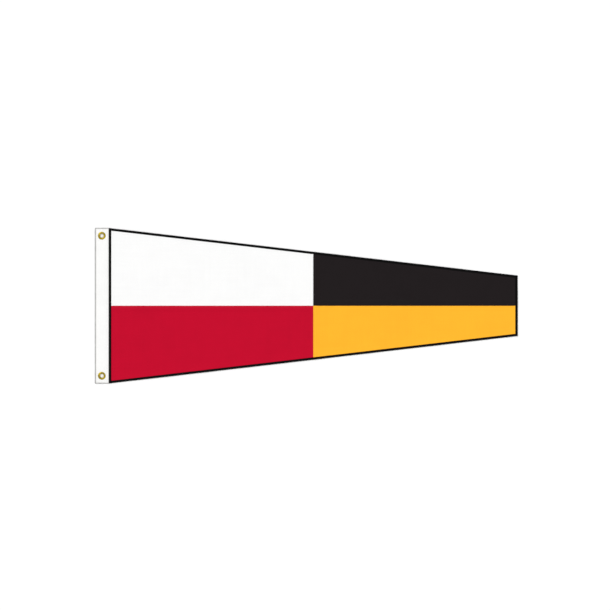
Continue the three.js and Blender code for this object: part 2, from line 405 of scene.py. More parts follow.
def makePiece(name, points, faces, material, marks=None, markName="raised"):
    used, faces = np.unique(faces, return_inverse=True)
    faces = faces.reshape(-1, 4)
    mesh = bpy.data.meshes.new(name)
    mesh.from_pydata((points[used] * mm).tolist(), [], faces.tolist())
    if marks is not None:
        attribute = mesh.attributes.new(markName, "FLOAT", "POINT")
        attribute.data.foreach_set("value", np.asarray(marks, np.float32)[used])
    mesh.update()
    mesh.materials.append(materials[material])
    return addObject(name, mesh)


def makeSheetPiece(name, x, y, z, keep, flip, material, marks, thick, sharpAngle=50):
    points = np.stack([x, y, z], -1).reshape(-1, 3)
    piece = makePiece(name, points, gridFaces(keep, flip), material, marks.ravel())
    area = sum(face.area for face in piece.data.polygons)  # of the middle of the cloth
    modifier = piece.modifiers.new("thickness", "SOLIDIFY")
    modifier.thickness = thick * mm
    modifier.offset = 0
    modifier.use_even_offset = True
    bpy.context.view_layer.objects.active = piece
    bpy.ops.object.modifier_apply(modifier=modifier.name)
    shade(piece, sharpAngle)
    return piece, area


def shade(piece, sharpAngle=180):
    piece.data.polygons.foreach_set("use_smooth", [True] * len(piece.data.polygons))
    if sharpAngle < 180:
        piece.data.set_sharp_from_angle(angle=math.radians(sharpAngle))


def gridFaces(keep, flip):  # one quad for each kept cell of a grid
    rows, columns = keep.shape[0] + 1, keep.shape[1] + 1
    index = np.arange(rows * columns).reshape(rows, columns)
    quads = np.stack([index[:-1, :-1], index[1:, :-1], index[1:, 1:], index[:-1, 1:]], -1)[keep]
    return quads[:, ::-1] if flip else quads


def cellMiddles(grid):
    return 0.25 * (grid[:-1, :-1] + grid[1:, :-1] + grid[:-1, 1:] + grid[1:, 1:])


def rowOf(points, item):  # one value of every point, as a row
    return np.array([point[item] for point in points])[None, :]


def arc(centre, radius, start, end, count):  # points round a bend, by angles in degrees
    turn = np.radians(np.linspace(start, end, count))
    return [(centre[0] + radius[0] * math.cos(a), centre[1] + radius[1] * math.sin(a)) for a in turn]


# Folded binding tape: s runs in from its outer edge, and heights are of the middle of the tape
tape = {
    "thick": 0.36,
    "face": 5.2,  # width of the leg on the face
    "row": 3.5,  # its row of stitches, in from the edge
    "low": 0.38,  # height of the back leg
    "high": 1.25,  # height of the face leg, and at the fold
    "atRow": 1.21,
    "puff": 1.72,
    "pressedLow": 0.74,  # both legs pressed together under an end binding
    "pressedGap": 0.38,
    "pinch": 0.3,  # how far the heading's sewn ends press the hoist strip down
    "slack": 0.05,  # ripple of the fold between stitches, two of them long
    "slackLong": 6.4,
    "step": 2.2,
}

# Cloth panels: thickness, and the height of the middle of each layer
layer = {
    "thick": 0.30,
    "lying": 0.20,
    "bottom": 0.36,
    "overTurn": 0.70,
    "underTurn": 1.04,
    "top": 1.38,
    "held": 0.86,  # between the legs of the binding
}
seam = {
    "rows": (1.6, 6.5),  # rows of stitches, in from the fold
    "pillow": 0.14,  # rise between the two rows
    "groove": 0.07,  # dip under each row
    "slope": 7.0,  # length over which the lap comes down to level cloth
    "underSlope": 6.0,  # the same for the lower panel
    "clear": 8.0,  # the middle seam's turns stop this far from the cross seam
    "tucked": 0.45,  # share of the red seam's height that goes on under the cross seam
    "crossRise": 0.32,  # how far the middle seam rises over the other two
    "endRise": 0.4,  # how far the binding rises over the end of a seam
    "cornerRise": 0.27,  # how far the end bindings rise over the long ones
    "hidden": 13.0,  # the turns inside a seam stop this far from the flag's edge
    "tongue": 3.1,  # reach of a lower panel where three or four layers meet
    "turned": 7.0,  # cloth that goes into a panel's turns each way
}
turnRadius = (layer["top"] - layer["overTurn"]) / 2
turnCentre = turnRadius + layer["thick"] / 2  # in from the fold's outer face
seamSide = [9.0, 10.2, 11.5, 13.0, 15.0]  # mesh lines beside a seam, in from its fold
edgeSide = [15.0, 13.0, 11.5, 10.2, 9.0, 7.8, 6.7, 5.9, 5.3, 5.1, 4.6, 4.0, 3.5, 3.0, 2.3, 1.6]
fieldStep = {"along": 2.5, "rows": 50}  # mesh size on the open field

panelLooks = {
    "panel_white": {"slot": "cloth_white", "side": 1, "left": True, "over": False},
    "panel_red": {"slot": "cloth_red", "side": -1, "left": True, "over": True},
    "panel_black": {"slot": "cloth_black", "side": 1, "left": False, "over": True},
    "panel_yellow": {"slot": "cloth_yellow", "side": -1, "left": False, "over": False},
}


def lapShape(w):  # 1 where an upper panel lies on the seam, 0 on level cloth
    return 1 - smooth(w, seamWide - 0.6, seamWide + seam["slope"])


def lapHigh(w):  # rise of an upper panel on its seam, with a pillow between the rows of stitches
    first, second = seam["rows"]
    between = np.clip((w - first) / (second - first), 0, 1)
    high = layer["top"] - layer["lying"] + seam["pillow"] * np.sin(math.pi * between) ** 2
    for row in seam["rows"]:
        high = high - seam["groove"] * bump(w, row, 0.45)
    return high * lapShape(w)


def tuckShare(x):  # the red seam's height, less where it goes under the cross seam
    return 1 - (1 - seam["tucked"]) * smooth(x, crossX - seam["clear"], crossX - 1)


def heldShare(x, y):  # 1 where the binding grips the cloth, 0 on the open field
    inset = np.minimum((halfAt(x) - np.abs(y)) / slant, np.minimum(x - hoistX, flyX - x))
    return 1 - smooth(inset, tape["face"], seam["hidden"])


def overSeam(w):  # 1 where the binding passes over the end of a seam
    return smooth(w, -0.4, 1.4) * (1 - smooth(w, seamWide - 0.6, seamWide + 2.6))


def seamRise(x, y):  # how much higher the binding lies over seams and at the corners
    near, inner = 30, tape["face"] + 0.1  # reach of the seams' ends, and of the end bindings
    atHoist = overSeam(-y) * (x < hoistX + near)
    atFly = overSeam(y) * (x > flyX - near)
    atCross = overSeam(x - crossX) * (np.abs(y) > near)
    ends = (x < hoistX + inner) | (x > flyX - inner)
    corners = ends * smooth(np.abs(y), halfAt(x) - 9, halfAt(x) - 6)
    return seam["endRise"] * (atHoist + atFly + atCross) + seam["cornerRise"] * corners


def levelHeight(looks, x, y):  # middle of the cloth where it isn't turned, without the ripple
    v = looks["side"] * y
    w = x - crossX
    lying = layer["lying"]
    if looks["over"]:
        along = lapHigh(v)
    else:
        along = (layer["bottom"] - lying) * (1 - smooth(v, 0, seam["underSlope"]))
    if looks["left"]:
        along = along * tuckShare(x)
        across = (layer["bottom"] - lying) * smooth(x, crossX - seam["underSlope"], crossX)
        raised = 0
    else:
        across = lapHigh(w)
        raised = lapShape(v) if looks["over"] else smooth(v, 0, 2.5) * (1 - smooth(v, 7.4, 11))
    high = lying + np.maximum(along, across) + seam["crossRise"] * raised * lapShape(w)
    held = heldShare(x, y)
    return high * (1 - held) + (layer["held"] + seamRise(x, y)) * held


def underHeight(looks, x, y):  # middle of a lower panel where it reaches under its neighbour
    high = layer["bottom"] + 0 * x
    if not looks["left"]:
        high = high + (layer["top"] + 0.02 - layer["bottom"]) * lapShape(x - crossX)
    elif looks["over"]:
        topLayer = layer["lying"] + seam["tucked"] * (layer["top"] - layer["lying"])
        high = high + (topLayer - layer["bottom"]) * (1 - smooth(-y, 3.4, 8))
    held = heldShare(x, y)
    return high * (1 - held) + layer["held"] * held


def levelAt(places):  # stations on cloth that isn't turned
    return [(w, None, "main") for w in places]


# The folded edge of an upper panel, from the hidden end of its turn to the level cloth. A station is
# its distance in from the fold, its height or None where it is level, and its zone
def overEdge():
    low, middle = layer["overTurn"], layer["overTurn"] + turnRadius
    stations = [(w, low, "turn") for w in (6.6, 4.8, 3.0, 1.5)]
    bend = arc((turnCentre, middle), (turnRadius, turnRadius), 270, 120, 6)
    stations += [(w, z, "turn") for w, z in bend[:3]] + [(w, z, "lip") for w, z in bend[3:]]
    level = (turnCentre, 0.9, 1.3, 1.6, 1.9, 2.4, 3.2, 4.05, 4.9, 5.7, 6.2, 6.5, 6.8, 7.3, 8.0)
    return stations + levelAt(level)


# The folded edge of a lower panel, which reaches under its neighbour
def underEdge():
    high, middle = layer["underTurn"], layer["underTurn"] - turnRadius
    stations = [(w, high, "turn") for w in (-1.4, -3.0, -4.6, -6.2)]
    bend = arc((turnCentre - seamWide, middle), (turnRadius, turnRadius), 90, 270, 7)
    stations += [(w, z, "turn") for w, z in bend[:-1]] + [(*bend[-1], "under")]
    stations += [(w, None, "under") for w in (-6.0, -4.5, -3.0, -1.5)]
    return stations + levelAt((0, 1.0, 2.2, 3.6, 5.0, 6.5, 8.0))


def lengthStations(looks):  # along the flag: x, fixed height or None, zone up to the next one
    if looks["left"]:
        first = levelAt(hoistX + s for s in edgeSide)[::-1]
        last = [(crossX - w, z, zone) for w, z, zone in underEdge()]
        last = (last + levelAt(crossX - w for w in seamSide))[::-1]
    else:
        first = [(crossX + w, z, zone) for w, z, zone in overEdge()]
        first += levelAt(crossX + w for w in seamSide)
        last = levelAt(flyX - s for s in edgeSide)
    return first + levelAt(spaced(first[-1][0], last[0][0], fieldStep["along"])) + last


def heightStations(looks):  # across it: fixed part, share of the half height, fixed height, zone
    stations = [(w, 0.0, z, zone) for w, z, zone in (overEdge() if looks["over"] else underEdge())]
    stations += [(w, 0.0, None, "main") for w in seamSide]
    low, high = seamSide[-1], -edgeSide[0] * slant
    for t in np.linspace(0, 1, fieldStep["rows"])[1:-1]:
        stations.append((low * (1 - t) + high * t, t, None, "main"))
    return stations + [(-s * slant, 1.0, None, "main") for s in edgeSide]


def turnAcross(looks, x, y, z, across, opened):  # heights of the turned edge at the middle seam
    x1, y1 = x[:, 0], y[:, 0]
    lipTop = levelHeight(looks, x1, looks["side"] * turnCentre + 0 * y1)
    lipFoot = (layer["top"] - layer["overTurn"]) / 2
    scale = tuckShare(x1) if looks["left"] else 1.0
    for j, (height, zone) in enumerate(station[2:] for station in across):
        if looks["over"] and height is not None:  # the lip follows the level cloth beside it
            drop = layer["top"] - height
            if drop > lipFoot:
                drop = lipFoot + (drop - lipFoot) * opened
            z[:, j] = lipTop - drop * scale
        elif zone == "under":
            z[:, j] = underHeight(looks, x[:, j], y[:, j])
        elif height is not None:
            z[:, j] = height


def turnAlong(looks, x, y, z, along):  # heights of the turned edge at the cross seam
    for i, (height, zone) in enumerate(station[1:] for station in along):
        if zone == "under":
            z[i] = underHeight(looks, x[i], y[i])
        elif height is not None and looks["left"]:
            z[i] = height
        elif height is not None:
            z[i] = levelHeight(looks, crossX + turnCentre + 0 * y[i], y[i]) - (layer["top"] - height)


def cellZones(stations):  # a cell takes the more hidden zone of its two sides
    order = {"main": 0, "lip": 1, "under": 2, "turn": 3}
    zones = [station[-1] for station in stations]
    return np.array([max(pair, key=order.get) for pair in zip(zones[:-1], zones[1:])])


# A panel's turns stop short of the binding, and only a narrow tongue goes on where turns cross
def panelCells(looks, x, v, along, across, openFrom, openTo):
    midX, midV = cellMiddles(x), cellMiddles(v)
    inset = (halfAt(midX) - midV) / slant
    lengthZone, heightZone = cellZones(along)[:, None], cellZones(across)[None, :]
    tongue = midV > -seam["tongue"]
    if looks["left"]:
        reaches = (midX < crossX - seam["clear"]) | tongue
    else:
        reaches = (midX > crossX + seam["clear"]) | (tongue & (midX > crossX + 0.6))
    keep = ~(np.isin(lengthZone, ("turn", "under")) & np.isin(heightZone, ("turn", "lip")))
    keep &= ~((lengthZone == "turn") & (heightZone == "under"))
    keep &= (heightZone != "turn") | ((midX > openFrom) & (midX < openTo))
    keep &= (lengthZone != "turn") | (inset > seam["hidden"])
    keep &= (heightZone != "under") | reaches
    corner = 5.0  # the cloth's corners end this far in, under the binding
    keep &= (inset > corner) | ((midX > hoistX + corner) & (midX < flyX - corner))
    return keep


def foldMarks(looks, x, v):  # folds and pillows that rub first
    marks = np.zeros_like(v)
    for lapped, w in ((looks["over"], v), (not looks["left"], x - crossX)):
        if lapped:
            marks = np.maximum(marks, bump(w, 0.2, 0.6))
            marks = np.maximum(marks, 0.35 * bump(w, 4.0, 1.6))
    return marks


def makePanel(name):
    looks = panelLooks[name]
    along, across = lengthStations(looks), heightStations(looks)
    fixed, share = rowOf(across, 0), rowOf(across, 1)
    x = rowOf(along, 0).T + 0 * fixed
    v = fixed + share * halfAt(x)  # out from the middle seam
    y = looks["side"] * v
    z = levelHeight(looks, x, y)
    if looks["left"]:
        openFrom, openTo = hoistX + seam["hidden"], crossX - seam["clear"]
    else:
        openFrom, openTo = crossX + seamSide[-1], flyX - seam["hidden"]
    opened = smooth(x[:, 0], openFrom, openFrom + 5) * (1 - smooth(x[:, 0], openTo - 5, openTo))
    turnAcross(looks, x, y, z, across, opened)
    turnAlong(looks, x, y, z, along)
    keep = panelCells(looks, x, v, along, across, openFrom, openTo)
    piece, area = makeSheetPiece(name + "_cloth", x, y, z + ripple(x, y), keep, looks["side"] < 0,
                                 looks["slot"], foldMarks(looks, x, v), layer["thick"])
    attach(piece, "root")
    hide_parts(name)


for panelName in panelLooks:
    makePanel(panelName)
print("panels made:", len(panelLooks))


# Sections of the binding, from the face leg's edge round the fold to the back leg's edge
faceLeg = [(tape["face"], tape["high"]), (4.8, 1.27), (4.3, 1.27), (3.85, tape["high"])]
faceLeg += [(tape["row"], tape["atRow"]), (3.15, 1.26)]


def tapeFold():
    low = tape["low"]
    radius = (tape["puff"] - low) / 2
    path = faceLeg + [(2.8, 1.36), (2.3, 1.52), (1.8, 1.64), (1.35, 1.70)]
    path += arc((radius + tape["thick"] / 2, low + radius), (radius, radius), 90, 270, 11)
    path += [(1.5, low), (2.2, low), (3.0, low + 0.01), (3.5, low + 0.04), (4.0, low + 0.01), (4.8, low)]
    return path


def hoistFold():  # this one runs on into the heading and back
    low = tape["low"]
    path = faceLeg + [(2.6, 1.34), (1.8, 1.45), (1.0, 1.54), (0.2, 1.60)]
    path += [(-0.6, 1.62), (-2.0, 1.61), (-3.4, 1.60)] + arc((-3.5, 1.41), (0.19, 0.19), 120, 240, 5)
    path += [(-3.4, 1.22), (-2.0, 1.22), (-0.6, 1.21), (0.2, 1.10), (0.9, 0.84), (1.6, 0.56), (2.3, 0.42)]
    return path + [(3.0, low), (3.5, low + 0.04), (4.0, low), (4.8, low)]


def tuckedEnds(x):  # 1 where the long bindings go flat under the end ones
    start, end = tape["face"], tape["face"] + 2.4
    return 1 - smooth(x, hoistX + start, hoistX + end) + smooth(x, flyX - end, flyX - start)


def pressedTape(z):  # heights where the legs are pressed together
    share = np.clip((z - tape["low"]) / (tape["high"] - tape["low"]), 0, 1)
    return tape["pressedLow"] + tape["pressedGap"] * share


def endPinch(y):  # 1 at the heading's ends, where its layers are sewn shut
    return smooth(np.abs(y), topY - 9, topY - 2.8)


def makeTape(word, kind, path, stations, place, flip):
    s, section = rowOf(path, 0), rowOf(path, 1)
    t = np.asarray(stations, float)[:, None]
    x, y = place(t, s)
    rise = smooth(section, 0.9, tape["high"]) * seamRise(x, y)  # of the leg on the face
    if kind == "hoist":
        z = section + rise * smooth(s, -0.8, 2.0)
        z = z - tape["pinch"] * endPinch(y) * (1 - smooth(s, -0.5, 2.2))
    else:
        z = section + rise
    if kind == "long":
        z = z + (pressedTape(section) - z) * tuckedEnds(x)
    slack = tape["slack"] * np.sin(2 * math.pi * t / tape["slackLong"]) * bump(s, 1.6, 1.4)
    z = z + ripple(x, y) + slack * (z > 1.0)
    marks = bump(s, 0.6, 0.9) * (z > 0.9)
    keep = np.ones((len(stations) - 1, len(path) - 1), bool)
    piece, area = makeSheetPiece("binding_" + word, x, y, z, keep, flip, "tape_black", marks, tape["thick"])
    node = "tape_" + word
    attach(piece, "root")
    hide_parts(node)
    area = area / mm ** 2


def makeTapes():
    startX, endX = hoistX + 2.4, flyX - 1.3
    near = np.array([0, 1.4, 2.8, 3.6, 4.4, 5.2, 6.4])
    between = evenSteps(startX + 8, endX - 8, tape["step"])
    alongX = np.concatenate([startX + near, between, endX - near[::-1]])
    for side, word in ((1, "upper"), (-1, "lower")):
        makeTape(word, "long", tapeFold(), alongX, lambda t, s: (t + 0 * s, side * halfAt(t, s)), side > 0)
    flyHalf = halfAt(flyX)
    makeTape("fly", "end", tapeFold(), evenSteps(-flyHalf, flyHalf, tape["step"]),
             lambda t, s: (flyX - s + 0 * t, t * halfAt(flyX - s) / flyHalf), False)

    def hoistPlace(t, s):  # its hidden part ends short of the heading's ends
        return hoistX + s + 0 * t, t * np.where(s > 0, halfAt(hoistX + s), topY - 3) / topY

    makeTape("hoist", "hoist", hoistFold(), evenSteps(-topY, topY, tape["step"]), hoistPlace, True)


makeTapes()
print("binding made")

# Heading: canvas folded lengthwise, its inner edges and its ends turned in
canvas = {
    "thick": 0.46,
    "backLeg": 0.35,  # heights of the middle of its layers
    "faceLeg": 2.54,
    "turnFace": 2.05,
    "outerFace": 2.02,
    "squeezedBack": 1.50,  # and where a grommet holds them
    "squeezedFace": 2.03,
    "turnWide": 8.5,
    "endTurn": 6.5,
    "step": 1.5,
    "rows": (1.8, 5.2),  # rows of stitches, in from the inner edge
    "endRow": 3.2,
    "rowDip": 0.10,
    "uneven": 0.10,
    "creases": 9,  # round each grommet
    "creaseHigh": 0.10,
}
grommet = {"radius": 8.35, "hole": 4.25, "barrel": 4.9, "canvasHole": 5.3, "dish": 5.0}
grommetPlaces = {word: sum(boxOf("grommet_" + word)) / 2 for word in ("upper", "lower")}
foldRadius = (canvas["outerFace"] - canvas["backLeg"]) / 2
foldX = leftX + canvas["thick"] / 2 + foldRadius
turnedRadius = (canvas["faceLeg"] - canvas["turnFace"]) / 2
bendSteps = np.radians((30, 60, 90, 120, 150))
innerX = hoistX - canvas["thick"] / 2 - turnedRadius


def canvasHeights(x, y, face):  # height of the middle of a leg, dished to the grommets
    across = (x - leftX) / (hoistX - leftX)
    if face:
        free = canvas["outerFace"] + (canvas["faceLeg"] - canvas["outerFace"]) * smooth(across, 0.05, 0.8)
        squeezed = canvas["squeezedFace"]
        for row in canvas["rows"]:
            free = free - canvas["rowDip"] * bump(hoistX - x, row, 0.7)
        free = free + canvas["uneven"] * (waves(x * 2.3 + 50, y * 1.7) - 0.5)
        free = free + (canvas["outerFace"] - 0.02 - free) * endPinch(y)
    else:
        free = canvas["backLeg"] + 0.0 * x
        squeezed = canvas["squeezedBack"]
    endDip = -canvas["rowDip"] if face else 0.04
    free = free + endDip * bump(np.abs(y), topY - canvas["endRow"], 0.8)
    for centre in grommetPlaces.values():
        dx, dy = x - centre[0], y - centre[1]
        far = np.hypot(dx, dy)
        pull = 1 - smooth(far, grommet["radius"] - 0.3, grommet["radius"] + grommet["dish"])
        around = smooth(far, 8.5, 10.5) * (1 - smooth(far, 11, 17))
        creases = canvas["creaseHigh"] * np.sin(canvas["creases"] * np.arctan2(dy, dx) + 1.0) * around
        free = free * (1 - pull) + squeezed * pull + creases * (1 if face else 0.4)
    return free


# The heading's section, from the back's turn round the outer fold to the face's: x, part, and how
# far round its bend the place is, as a cosine
def headingPath():
    legX = [foldX] + spaced(foldX, innerX - 3, canvas["step"]) + [innerX - s for s in (3, 1.9, 1, 0)]
    leg = [(x, None) for x in legX]
    turn = [(innerX - s, None) for s in (canvas["turnWide"], 6, 4, 2, 0)]
    bend = [(innerX + turnedRadius * math.sin(a), math.cos(a)) for a in bendSteps]
    outer = [(foldX - foldRadius * math.sin(a), math.cos(a)) for a in np.radians(np.arange(15, 180, 15))]
    parts = {"turnBack": turn, "bendBack": bend, "back": leg[::-1], "fold": outer}
    parts.update({"face": leg, "bendFace": bend, "turnFace": turn[::-1]})
    return [(x, part, cosine) for part, places in parts.items() for x, cosine in places]


# Rows of the heading: y, how far an end that is turned in lies inside its leg, zone
def headingRows():
    radius = canvas["thick"] / 2 + 0.04
    lastY = topY - canvas["thick"] / 2 - radius
    half = evenSteps(0, lastY - canvas["endTurn"], canvas["step"])
    rows = [(y, 0.0, "main") for y in np.concatenate([-half[:0:-1], half])]
    tail = [(lastY - canvas["endTurn"] + d, 0.0, "edge") for d in (1.4, 2.6, 3.6, 4.6, 5.6, 6.5)]
    for a in bendSteps:
        tail.append((lastY + radius * math.sin(a), radius * (1 - math.cos(a)), "end"))
    tail += [(lastY - d, 2 * radius, "end") for d in (0, 1.5, 3.0, 4.5)]
    return [(-y, lift, zone) for y, lift, zone in reversed(tail)] + rows + tail


def headingPoints(path, rows):
    y = rowOf(rows, 0) + np.zeros((len(path), 1))
    lift = rowOf(rows, 1)[0]
    x, z = np.zeros_like(y), np.zeros_like(y)
    for i, (place, part, cosine) in enumerate(path):
        x[i] = place
        if part == "back":
            z[i] = canvasHeights(x[i], y[i], False) + lift
        elif part == "face":
            z[i] = canvasHeights(x[i], y[i], True) - lift
        elif part == "fold":
            low, high = (canvasHeights(foldX + 0 * y[i], y[i], face) for face in (False, True))
            z[i] = (low + high) / 2 - (high - low) / 2 * cosine * (1 - lift / foldRadius)
            x[i] = place + lift * (foldX - place) / foldRadius
        elif part in ("bendBack", "turnBack"):
            rise = 2 * turnedRadius if part == "turnBack" else turnedRadius * (1 + cosine)
            z[i] = canvasHeights(innerX + 0 * y[i], y[i], False) + rise
        else:
            drop = 2 * turnedRadius if part == "turnFace" else turnedRadius * (1 - cosine)
            z[i] = canvasHeights(innerX + 0 * y[i], y[i], True) - drop
    return x, y, z


def eitherSide(lines):  # for each cell, whether a line beside it is flagged
    return lines[:-1] | lines[1:]


def headingCells(path, rows):  # the turned ends have no turned edges inside them
    parts, zones = rowOf(path, 1)[0], rowOf(rows, 2)[0]
    inTurn = np.isin(parts, ("turnBack", "turnFace"))
    turned = eitherSide(inTurn | np.isin(parts, ("bendBack", "bendFace")))[:, None]
    deepTurn = (inTurn[:-1] & inTurn[1:])[:, None]
    ended, edged = (eitherSide(zones == zone)[None, :] for zone in ("end", "edge"))
    return ~(turned & ended) & ~(deepTurn & edged)


def makeHeading():
    path, rows = headingPath(), headingRows()
    x, y, z = headingPoints(path, rows)
    keep = headingCells(path, rows)
    midX, midY = cellMiddles(x), cellMiddles(y)
    hole = grommet["canvasHole"]
    for centre in grommetPlaces.values():  # a hole for each barrel, its rim drawn out to a circle
        keep &= np.hypot(midX - centre[0], midY - centre[1]) > hole
        far = np.hypot(x - centre[0], y - centre[1])
        scale = np.where(far < hole + 0.9, np.maximum(far, hole) / np.maximum(far, 0.01), 1)
        x = centre[0] + (x - centre[0]) * scale
        y = centre[1] + (y - centre[1]) * scale
    # painted shade that outlines the heading: strongest along the outer fold and the ends, and half as
    # strong along the inner edge, as a shadow beside the binding
    outside = 1 - smooth(np.minimum(0.72 * (x - leftX), topY - np.abs(y)), 0.6, 2.6)
    marks = np.maximum(outside, 0.5 * (1 - smooth(hoistX - x, 0.4, 2.2)))
    piece, area = makeSheetPiece("heading_canvas", x, y, z, keep, True, "canvas_white", marks,
                                 canvas["thick"], sharpAngle=60)
    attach(piece, "root")
    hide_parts("heading")


makeHeading()
print("heading made")

# Grommets: sections that are turned to closed rings, as radius and height
ring = {"steps": 96, "flangeLow": 2.42, "high": 3.4, "lip": 6.2, "lipHigh": 0.5, "washerHigh": 1.2}


def eyeletSection():  # lip, barrel, underside of the flange, dome, throat
    r, bore, barrel = grommet["radius"], grommet["hole"], grommet["barrel"]
    low, high, lip, lipHigh = ring["flangeLow"], ring["high"], ring["lip"], ring["lipHigh"]
    section = [(barrel + 0.15, 0.04), (lip - 0.45, 0.02)]
    section += arc((lip - 0.3, lipHigh / 2 + 0.02), (0.3, lipHigh / 2), -80, 90, 7)
    section += [(barrel + 0.1, lipHigh + 0.04), (barrel, lipHigh + 0.2)]
    section += [(barrel, low - 0.1), (barrel + 0.15, low)]
    section += arc((r - 0.22, low + 0.2), (0.22, 0.2), -90, 20, 5)
    section += arc((r - 1.5, low + 0.35), (1.42, high - low - 0.35), 12, 90, 9)
    section += [(r - 1.9, high - 0.005), (5.9, high - 0.02)]
    section += arc((5.35, high - 1.1), (5.35 - bore, 1.08), 90, 178, 9)
    section += [(bore, 1.8), (bore + 0.01, 1.2)]
    return section + arc((bore + 0.95, 1.0), (0.94, 0.96), 182, 262, 7)


def washerSection():  # underside, rounded rim, top, bore and the step that clears the lip
    r, bore = grommet["radius"], grommet["barrel"] + 0.15
    high, step = ring["washerHigh"], ring["lip"] + 0.15
    section = [(step + 0.2, 0.03), (r - 0.5, 0.02)]
    section += arc((r - 0.28, 0.28), (0.28, 0.26), -75, 0, 5)
    section += arc((r - 0.5, high - 0.5), (0.5, 0.48), 5, 88, 6)
    section += [(bore + 0.5, high), (bore + 0.05, high - 0.05), (bore, high - 0.3)]
    return section + [(step - 0.25, 0.62), (step, 0.5)]


def makeRing(name, node, centre, section, seed):
    turn = np.linspace(0, 2 * math.pi, ring["steps"], endpoint=False)[:, None]
    r, z = rowOf(section, 0), rowOf(section, 1)
    # pressed metal is never quite round or level
    r = r + 0.03 * np.sin(2 * turn + seed) + 0.015 * np.sin(5 * turn + 2 * seed)
    z = z + 0.012 * np.sin(3 * turn + 1.3 * seed) * smooth(z, 0.3, 2.0)
    x = centre[0] + r * np.cos(turn)
    y = centre[1] + r * np.sin(turn)
    index = np.arange(r.size).reshape(r.shape)
    after, following = np.roll(index, -1, 0), np.roll(index, -1, 1)
    faces = np.stack([index, after, np.roll(after, -1, 1), following], -1).reshape(-1, 4)
    # brass stays dull inside the throat and under the rim
    throat = np.clip((5.3 - r) * 0.7, 0, 1) * smooth(3.3 - z, 0.1, 0.7)
    rim = smooth(r, 8.0, 8.3) * 0.5 * (z < 2.9)
    points = np.stack([x, y, z], -1).reshape(-1, 3)
    piece = makePiece(name, points, faces, "brass", (throat + rim).ravel(), "hollow")
    shade(piece, 48)
    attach(piece, "root")
    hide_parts(node)


for number, (word, centre) in enumerate(grommetPlaces.items()):
    makeRing("eyelet_" + word, "grommet_" + word, centre, eyeletSection(), 1.0 + number)
    makeRing("eyelet_washer_" + word, "washer_" + word, centre, washerSection(), 2.7 + number)
print("grommets made")

# Stitches: every one is its own short arch of thread, in rows on the face and on the back
stitch = {
    "pitch": 3.2,
    "share": 0.84,  # of the pitch that shows
    "thick": 0.34,
    "flat": 0.8,  # height of the thread's section to its width
    "sides": 6,
    "wander": 0.05,
    "lean": 0.045,
    "pressed": 0.09,  # on the back, into the cloth
}
archAlong = np.array([-1, -0.88, -0.6, 0, 0.6, 0.88, 1.0])
archHigh = np.array([-0.20, 0.00, 0.10, 0.13, 0.10, 0.00, -0.20])
archThick = np.array([0.6, 0.95, 1, 1, 1, 0.95, 0.6])
sewn = {}  # rows of stitches of each piece


# A straight row of stitches, on the back for a piece whose name ends so
def sewRow(name, start, end, surface):
    start, end = np.array(start, float), np.array(end, float)
    length = np.linalg.norm(end - start)
    count = int(round(length / stitch["pitch"]))
    line = (end - start) / length
    sideways = np.array([-line[1], line[0]])
    centre = start + np.outer((np.arange(count) + 0.5) / count, end - start)
    centre = centre + np.outer(dice.normal(0, stitch["wander"], count), sideways)
    direction = line + dice.normal(0, stitch["lean"], count)[:, None] * sideways
    half = length / count * stitch["share"] / 2 * dice.uniform(0.95, 1.04, count)
    spots = centre[:, None, :] + direction[:, None, :] * (half[:, None] * archAlong)[:, :, None]
    arch = stitch["pressed"] - 0.5 * archHigh if name.endswith("back") else archHigh
    high = surface(spots[..., 0], spots[..., 1]) + arch
    beside = np.stack([-direction[:, 1], direction[:, 0]], -1)
    turn = np.linspace(0, 2 * math.pi, stitch["sides"], endpoint=False)
    radius = stitch["thick"] / 2 * archThick
    out = (radius[:, None] * np.cos(turn))[None, :, :, None] * beside[:, None, None, :]
    up = high[:, :, None] + (stitch["flat"] * radius[:, None] * np.sin(turn))[None]
    sewn.setdefault(name, []).append(np.concatenate([spots[:, :, None, :] + out, up[..., None]], -1))


def makeStitches(name, material, slot):
    tubes = np.concatenate(sewn[name])
    count, rings, sides = tubes.shape[:3]
    index = np.arange(rings * sides).reshape(rings, sides)
    after = np.roll(index, -1, 1)
    quads = np.stack([index[:-1], after[:-1], after[1:], index[1:]], -1).reshape(-1, 4)
    caps = []
    for corner in (index[0][::-1], index[-1]):  # each hexagon end is two quads
        caps += [corner[[0, 1, 2, 3]], corner[[0, 3, 4, 5]]]
    one = np.concatenate([quads, np.array(caps)])
    faces = (one[None] + (np.arange(count) * rings * sides)[:, None, None]).reshape(-1, 4)
    piece = makePiece("stitches_" + name, tubes.reshape(-1, 3), faces, material)
    shade(piece)
    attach(piece, "root")
    return count


# Surfaces that the stitches lie on


def panelTop(name):
    looks = panelLooks[name]
    return lambda x, y: levelHeight(looks, x, y) + layer["thick"] / 2 + ripple(x, y)


def panelBack(x, y):
    return layer["bottom"] - layer["thick"] / 2 + ripple(x, y)


def tapeTop(x, y):
    return tape["atRow"] + tape["thick"] / 2 + seamRise(x, y) + ripple(x, y)


def tapeBack(x, y):
    return tape["low"] + 0.04 - tape["thick"] / 2 + ripple(x, y)


def canvasTop(x, y):
    return canvasHeights(x, y, True) + canvas["thick"] / 2


def canvasBack(x, y):
    return canvasHeights(x, y, False) - canvas["thick"] / 2


